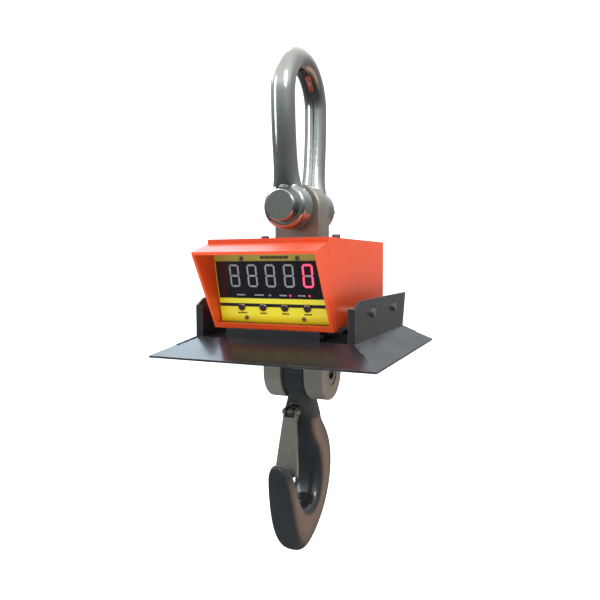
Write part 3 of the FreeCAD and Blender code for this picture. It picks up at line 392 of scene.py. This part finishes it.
def panel_frame():
    """The panel's top middle point, its across, down and inward directions, read from the display panel."""
    points = np.array([v.co for v in nodes["display_panel"].data.vertices])
    front_top = points[points[:, 1].argmin()]
    down = Vector((0, math.sin(PANEL_LEAN), -math.cos(PANEL_LEAN)))
    inward = Vector((0, math.cos(PANEL_LEAN), math.sin(PANEL_LEAN)))
    return Vector((0, front_top[1], front_top[2])), Vector((1, 0, 0)), down, inward


panel_top, panel_across, panel_down, panel_inward = panel_frame()


def on_panel(x, down, proud):
    """A point over the panel, in millimetres across, down from its top and out from its face."""
    return panel_top + panel_across * x * MM + panel_down * down * MM - panel_inward * proud * MM


def panel_shape(loops, proud, thick):
    """Flat outlines on the panel's plane, each extruded outward by a thickness."""
    build = bmesh.new()
    for loop in loops:
        base = [build.verts.new(on_panel(x, d, proud)) for x, d in loop]
        top = [build.verts.new(on_panel(x, d, proud + thick)) for x, d in loop]
        count = len(loop)
        build.faces.new(top)
        build.faces.new(list(reversed(base)))
        for n in range(count):
            build.faces.new([base[n], base[(n + 1) % count], top[(n + 1) % count], top[n]])
    bmesh.ops.recalc_face_normals(build, faces=build.faces[:])
    mesh = bpy.data.meshes.new("panel_shape")
    build.to_mesh(mesh)
    build.free()
    return mesh


def quad(x0, x1, d0, d1):
    """A rectangle on the panel."""
    return [(x0, d0), (x1, d0), (x1, d1), (x0, d1)]


def printed(name, loops, proud, thick, slot, ink):
    """A piece on the panel, drawn as flat outlines in one ink."""
    return new_piece(name, panel_shape(loops, proud, thick), "scale", slot, ink)


BAND_LIFT = 0.02
BAND_THICK = 0.12
BAND_REACH = 89.4
BUTTON_COUNT = 4
BUTTON_PITCH = 35
BUTTONS = [BUTTON_PITCH * (n - (BUTTON_COUNT - 1) / 2) for n in range(BUTTON_COUNT)]
YELLOW = glossy_print("print_yellow", (0.84, 0.78, 0.012))
# The yellow print under the hood, darkened to olive: a painted shadow of the hood.
YELLOW_IN_PAINTED_SHADOW = glossy_print("print_yellow_shaded", (0.34, 0.29, 0.03))
PRINT_BLACK = glossy_print("print_black", (0.012, 0.012, 0.014))
PALE = glossy_print("print_pale", (0.40, 0.40, 0.42))
UNLIT = glossy_print("segment_unlit", (0.29, 0.30, 0.32))
LIT = glowing("segment_lit", (0.95, 0.045, 0.11), 1.7)
RED_LAMP = glowing("lamp_red", (0.85, 0.03, 0.06), 0.7)

BANDS = [
    # The top band carries the painted shadow of the hood over the yellow print.
    ("band_top", 0.6, 11.3, YELLOW_IN_PAINTED_SHADOW),
    ("band_line", 66.2, 74.0, YELLOW),
    ("band_dark", 74.0, 78.9, PRINT_BLACK),
    ("band_bottom", 78.9, 101.5, YELLOW),
]
for name, top, bottom, ink in BANDS:
    printed(name, [quad(-BAND_REACH, BAND_REACH, top, bottom)], BAND_LIFT, BAND_THICK, "printed_face", ink)


def segment(x0, d0, x1, d1, width):
    """One bar of a seven-segment digit, with pointed ends."""
    half = width / 2
    if abs(d1 - d0) < abs(x1 - x0):
        return [(x0, d0), (x0 + half, d0 - half), (x1 - half, d0 - half), (x1, d0),
                (x1 - half, d0 + half), (x0 + half, d0 + half)]
    return [(x0, d0), (x0 + half, d0 + half), (x0 + half, d1 - half), (x0, d1),
            (x0 - half, d1 - half), (x0 - half, d0 + half)]


def digit_bars(x, middle, wide=13.4, tall=31.0, gap=0.35, width=2.8):
    """The seven bars of a digit: top, upper left, upper right, middle, lower left, lower right, bottom."""
    left = x - wide / 2
    right = x + wide / 2
    top = middle - tall / 2
    bottom = middle + tall / 2
    rows = [(left + gap, top, right - gap, top), (left, top + gap, left, middle - gap),
            (right, top + gap, right, middle - gap), (left + gap, middle, right - gap, middle),
            (left, middle + gap, left, bottom - gap), (right, middle + gap, right, bottom - gap),
            (left + gap, bottom, right - gap, bottom)]
    return [segment(*row, width) for row in rows]


GLASS_FACE = 1.24
DIGIT_COUNT = 5
DIGIT_PITCH = 29
DIGIT_MIDDLE = 32.2
MIDDLE_BAR = 3
UNLIT_THICK = 0.12
LIT_THICK = 0.14
for n in range(DIGIT_COUNT):
    bars = digit_bars(DIGIT_PITCH * (n - DIGIT_COUNT // 2), DIGIT_MIDDLE)
    shows_zero = n == DIGIT_COUNT - 1
    dim_bars = [bars[MIDDLE_BAR]] if shows_zero else bars
    printed("digit_%d_unlit" % (n + 1), dim_bars, GLASS_FACE, UNLIT_THICK, "digit_body", UNLIT)
    if shows_zero:
        lit_bars = bars[:MIDDLE_BAR] + bars[MIDDLE_BAR + 1:]
        lit = printed("digit_5_lit", lit_bars, GLASS_FACE, LIT_THICK, "digit_body", LIT)
        lit.visible_glossy = False


def dashes(x, down, widths, tall, gap=0.8):
    """A row of short bars centred on a point: a plain stand-in for a printed word."""
    cursor = x - (sum(widths) + gap * (len(widths) - 1)) / 2
    loops = []
    for width in widths:
        loops.append(quad(cursor, cursor + width, down, down + tall))
        cursor += width + gap
    return loops


def disc(x, down, radius, corners=20):
    """A small round outline on the panel."""
    turns = [2 * math.pi * n / corners for n in range(corners)]
    return [(x + radius * math.cos(t), down + radius * math.sin(t)) for t in turns]


FILM_FACE = 0.15
PRINT_THICK = 0.04
HEADING = dashes(8, 3.6, [4, 3, 4, 3, 4, 4, 3, 4, 3, 4], tall=4.2)
printed("print_heading", HEADING, FILM_FACE, PRINT_THICK, "printed_face", PRINT_BLACK)

BUTTON_WORD_ROW = 87.4
BUTTON_WORDS = [[3.4, 2.6, 3.4, 3.0], [3.0, 3.4, 2.6], [2.6, 3.4, 3.0], [3.4, 2.6, 3.4]]
button_prints = []
for x, widths in zip(BUTTONS, BUTTON_WORDS):
    button_prints += dashes(x, BUTTON_WORD_ROW, widths, tall=2.3)
printed("print_button_words", button_prints, FILM_FACE, PRINT_THICK, "printed_face", PRINT_BLACK)

LAMP_WORD_ROW = 59.8
LAMP_WORD_THICK = 0.05
LAMP_WORDS = [
    (-51, [2.6, 3.4, 2.6, 3.0]),
    (-21, [3.0, 3.4, 3.0, 2.6]),
    (17, [2.6, 3.4, 3.0]),
    (46, [3.0, 2.6, 3.4]),
]
PLUS_SIGN = [quad(-5.6, -1.6, 60.3, 61.3), quad(-4.1, -3.1, 58.8, 62.8)]
lamp_prints = []
for x, widths in LAMP_WORDS:
    lamp_prints += dashes(x, LAMP_WORD_ROW, widths, tall=1.9)
printed("print_lamp_words", lamp_prints + PLUS_SIGN, GLASS_FACE, LAMP_WORD_THICK, "dark_window", PALE)

LAMP_ROW = 60.9
LAMP_RADIUS = 1.7
LAMP_THICK = 0.10
LAMPS = [disc(x, LAMP_ROW, LAMP_RADIUS) for x in (28.4, 57.9)]
printed("lamps_lit", LAMPS, GLASS_FACE, LAMP_THICK, "led_lens", RED_LAMP)


# ---------------------------------------------------------------- welds
BEAD_FLATNESS = 0.55
chance = random.Random(11)


def weld_bead(start, end, count=16, radius=2.1 * MM):
    """Overlapping flattened drops along a seam, as a hand weld leaves them."""
    build = bmesh.new()
    for n in range(count):
        centre = start.lerp(end, n / (count - 1))
        size = radius * chance.uniform(0.85, 1.15)
        scale = Matrix.Diagonal((size, size, size * BEAD_FLATNESS, 1.0))
        place = Matrix.Translation(centre) @ scale
        bmesh.ops.create_icosphere(build, subdivisions=2, radius=1.0, matrix=place)
    mesh = bpy.data.meshes.new("weld")
    build.to_mesh(mesh)
    build.free()
    mesh.shade_smooth()
    return mesh


wing_low, wing_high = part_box("shield_front_wing")
rear_low, rear_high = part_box("shield_rear_wing")
SEAM_OUT = 1.5 * MM
INNER_LIFT = 0.3 * MM
OUTER_LIFT = 2.3 * MM
WELD_SHARE = 0.42
wall_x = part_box("shield_floor")[1].x + SEAM_OUT
SEAM_ENDS = [("front", wing_high.y, wing_low.y), ("rear", rear_low.y, rear_high.y)]
for side, side_name in ((-1, "left"), (1, "right")):
    for end_name, inner_y, outer_y in SEAM_ENDS:
        inner = Vector((side * wall_x, inner_y, wing_high.z + INNER_LIFT))
        outer = Vector((side * wing_high.x, outer_y, wing_low.z + OUTER_LIFT))
        mesh = weld_bead(inner, inner.lerp(outer, WELD_SHARE))
        new_piece("weld_%s_%s" % (end_name, side_name), mesh, "scale", "black_paint")


# ---------------------------------------------------------------- stage, light and camera
# The room's colour from straight down (0) to straight up (1), in most directions and in the warm corner.
ROOM_COOL = [
    (0.0, (0.04, 0.045, 0.05)), (0.40, (0.10, 0.11, 0.12)), (0.49, (0.20, 0.21, 0.20)),
    (0.58, (0.30, 0.33, 0.32)), (0.68, (0.74, 0.80, 0.86)), (0.76, (1.3, 1.3, 1.3)),
    (1.0, (1.05, 1.05, 1.05)),
]
ROOM_WARM = [
    (0.0, (0.05, 0.045, 0.045)), (0.16, (0.20, 0.15, 0.13)), (0.26, (0.85, 0.55, 0.40)),
    (0.34, (0.95, 0.62, 0.46)), (0.42, (0.24, 0.22, 0.21)), (0.58, (0.30, 0.32, 0.33)),
    (1.0, (1.0, 1.0, 1.0)),
]
WARM_TO_THE_RIGHT = (-0.05, 0.45)
WARM_BEHIND = (-0.15, 0.45)


def share(tree, source, low, high):
    """How far a number has gone from low to high."""
    node = tree.nodes.new("ShaderNodeMapRange")
    node.inputs["From Min"].default_value = low
    node.inputs["From Max"].default_value = high
    tree.links.new(source, node.inputs["Value"])
    return node.outputs["Result"]


def studio():
    """The room that the gloss reflects: bright above, dim grey around and warm behind on the right."""
    world = bpy.data.worlds.new("studio")
    bpy.context.scene.world = world
    world.use_nodes = True
    tree = world.node_tree
    background = next(n for n in tree.nodes if n.type == "BACKGROUND")
    direction = tree.nodes.new("ShaderNodeTexCoord")
    split = tree.nodes.new("ShaderNodeSeparateXYZ")
    tree.links.new(direction.outputs["Generated"], split.inputs["Vector"])
    height = share(tree, split.outputs["Z"], -1.0, 1.0)
    corner = tree.nodes.new("ShaderNodeMath")
    corner.operation = "MULTIPLY"
    tree.links.new(share(tree, split.outputs["X"], *WARM_TO_THE_RIGHT), corner.inputs[0])
    tree.links.new(share(tree, split.outputs["Y"], *WARM_BEHIND), corner.inputs[1])
    blend = tree.nodes.new("ShaderNodeMix")
    blend.data_type = "RGBA"
    tree.links.new(corner.outputs["Value"], blend.inputs[0])
    for socket, room in ((6, ROOM_COOL), (7, ROOM_WARM)):
        ramp = tree.nodes.new("ShaderNodeValToRGB")
        ramp.color_ramp.elements[0].color = colour(room[0][1])
        ramp.color_ramp.elements[1].color = colour(room[-1][1])
        for place, value in room[1:-1]:
            ramp.color_ramp.elements.new(place).color = colour(value)
        tree.links.new(height, ramp.inputs["Fac"])
        tree.links.new(ramp.outputs["Color"], blend.inputs[socket])
    tree.links.new(blend.outputs[2], background.inputs["Color"])
    background.inputs["Strength"].default_value = 1.0


FLOOR_DROP = 0.30
FLOOR_FRONT = -8.0
FLOOR_HALF_WIDTH = 9.0
CURVE_START = 2.6
CURVE_RADIUS = 2.0
CURVE_STEPS = 16
WALL_TOP = 9.0


def floor_sheet():
    """A white floor below the hanging scale that curves up behind it, and that the gloss doesn't reflect."""
    build = bmesh.new()
    floor_z = cad_box[0][2] - FLOOR_DROP
    turns = np.linspace(0, math.pi / 2, CURVE_STEPS)
    curve = [(CURVE_START + CURVE_RADIUS * math.sin(t), CURVE_RADIUS * (1 - math.cos(t))) for t in turns]
    profile = [(FLOOR_FRONT, 0.0)] + curve + [(CURVE_START + CURVE_RADIUS, WALL_TOP)]
    rows = []
    for x in (-FLOOR_HALF_WIDTH, FLOOR_HALF_WIDTH):
        rows.append([build.verts.new((x, y, floor_z + z)) for y, z in profile])
    for n in range(len(profile) - 1):
        build.faces.new([rows[0][n], rows[1][n], rows[1][n + 1], rows[0][n + 1]])
    mesh = bpy.data.meshes.new("floor")
    build.to_mesh(mesh)
    build.free()
    mesh.shade_smooth()
    sheet = bpy.data.objects.new("floor", mesh)
    bpy.context.scene.collection.objects.link(sheet)
    sheet.visible_glossy = False
    shade = Shade("floor_paper")
    shade.base(shade.ramp(shade.noise(2.0, 2.0), [(0.3, (0.90, 0.90, 0.90)), (0.7, (0.92, 0.92, 0.92))]))
    shade.set(Roughness=0.9, Emission_Color=(1.0, 1.0, 1.0, 1.0), Emission_Strength=0.55)
    mesh.materials.append(shade.material)


def area_light(name, place, target, size, power, tint):
    """A soft rectangular light aimed at a point."""
    light = bpy.data.lights.new(name, "AREA")
    light.shape = "RECTANGLE"
    light.size, light.size_y = size
    light.energy = power
    light.color = tint
    item = bpy.data.objects.new(name, light)
    bpy.context.scene.collection.objects.link(item)
    item.location = place
    item.visible_camera = False
    item.rotation_euler = (Vector(target) - Vector(place)).to_track_quat("-Z", "Y").to_euler()


CAMERA_PLACE = Vector((0.3757, -0.8591, -0.2935))
CAMERA_YAW = math.radians(23.75)
CAMERA_PITCH = math.radians(-3.67)
CAMERA_ROLL = math.radians(-0.3)
CAMERA_LENS = 35.4
SENSOR_WIDTH = 36.0


def camera():
    """The view from the right of the display, slightly above it."""
    level = Vector((-math.sin(CAMERA_YAW), math.cos(CAMERA_YAW), 0))
    forward = level * math.cos(CAMERA_PITCH) + Vector((0, 0, math.sin(CAMERA_PITCH)))
    right = Vector((math.cos(CAMERA_YAW), math.sin(CAMERA_YAW), 0))
    up = right.cross(forward)
    right_rolled = math.cos(CAMERA_ROLL) * right + math.sin(CAMERA_ROLL) * up
    up_rolled = -math.sin(CAMERA_ROLL) * right + math.cos(CAMERA_ROLL) * up
    data = bpy.data.cameras.new("camera")
    data.lens = CAMERA_LENS
    data.sensor_width = SENSOR_WIDTH
    item = bpy.data.objects.new("camera", data)
    bpy.context.scene.collection.objects.link(item)
    axes = Matrix((right_rolled, up_rolled, -forward)).transposed()
    item.matrix_world = Matrix.Translation(CAMERA_PLACE) @ axes.to_4x4()
    bpy.context.scene.camera = item


# Name, place, target, width and height, power, colour.
LIGHTS = [
    ("key", (1.7, -1.5, 1.5), (0, 0, -0.3), (0.9, 1.2), 32, (1, 1, 1)),
    ("left_fill", (-2.2, -1.6, 0.9), (0, 0, -0.3), (1.0, 1.8), 18, (0.86, 0.93, 1.0)),
    ("sky", (-1.25, 0.75, 1.35), (-0.1, 0, -0.35), (1.5, 1.5), 26, (0.66, 0.85, 1.0)),
]
studio()
floor_sheet()
for light_row in LIGHTS:
    area_light(*light_row)
camera()
bpy.context.scene.view_settings.view_transform = "Standard"
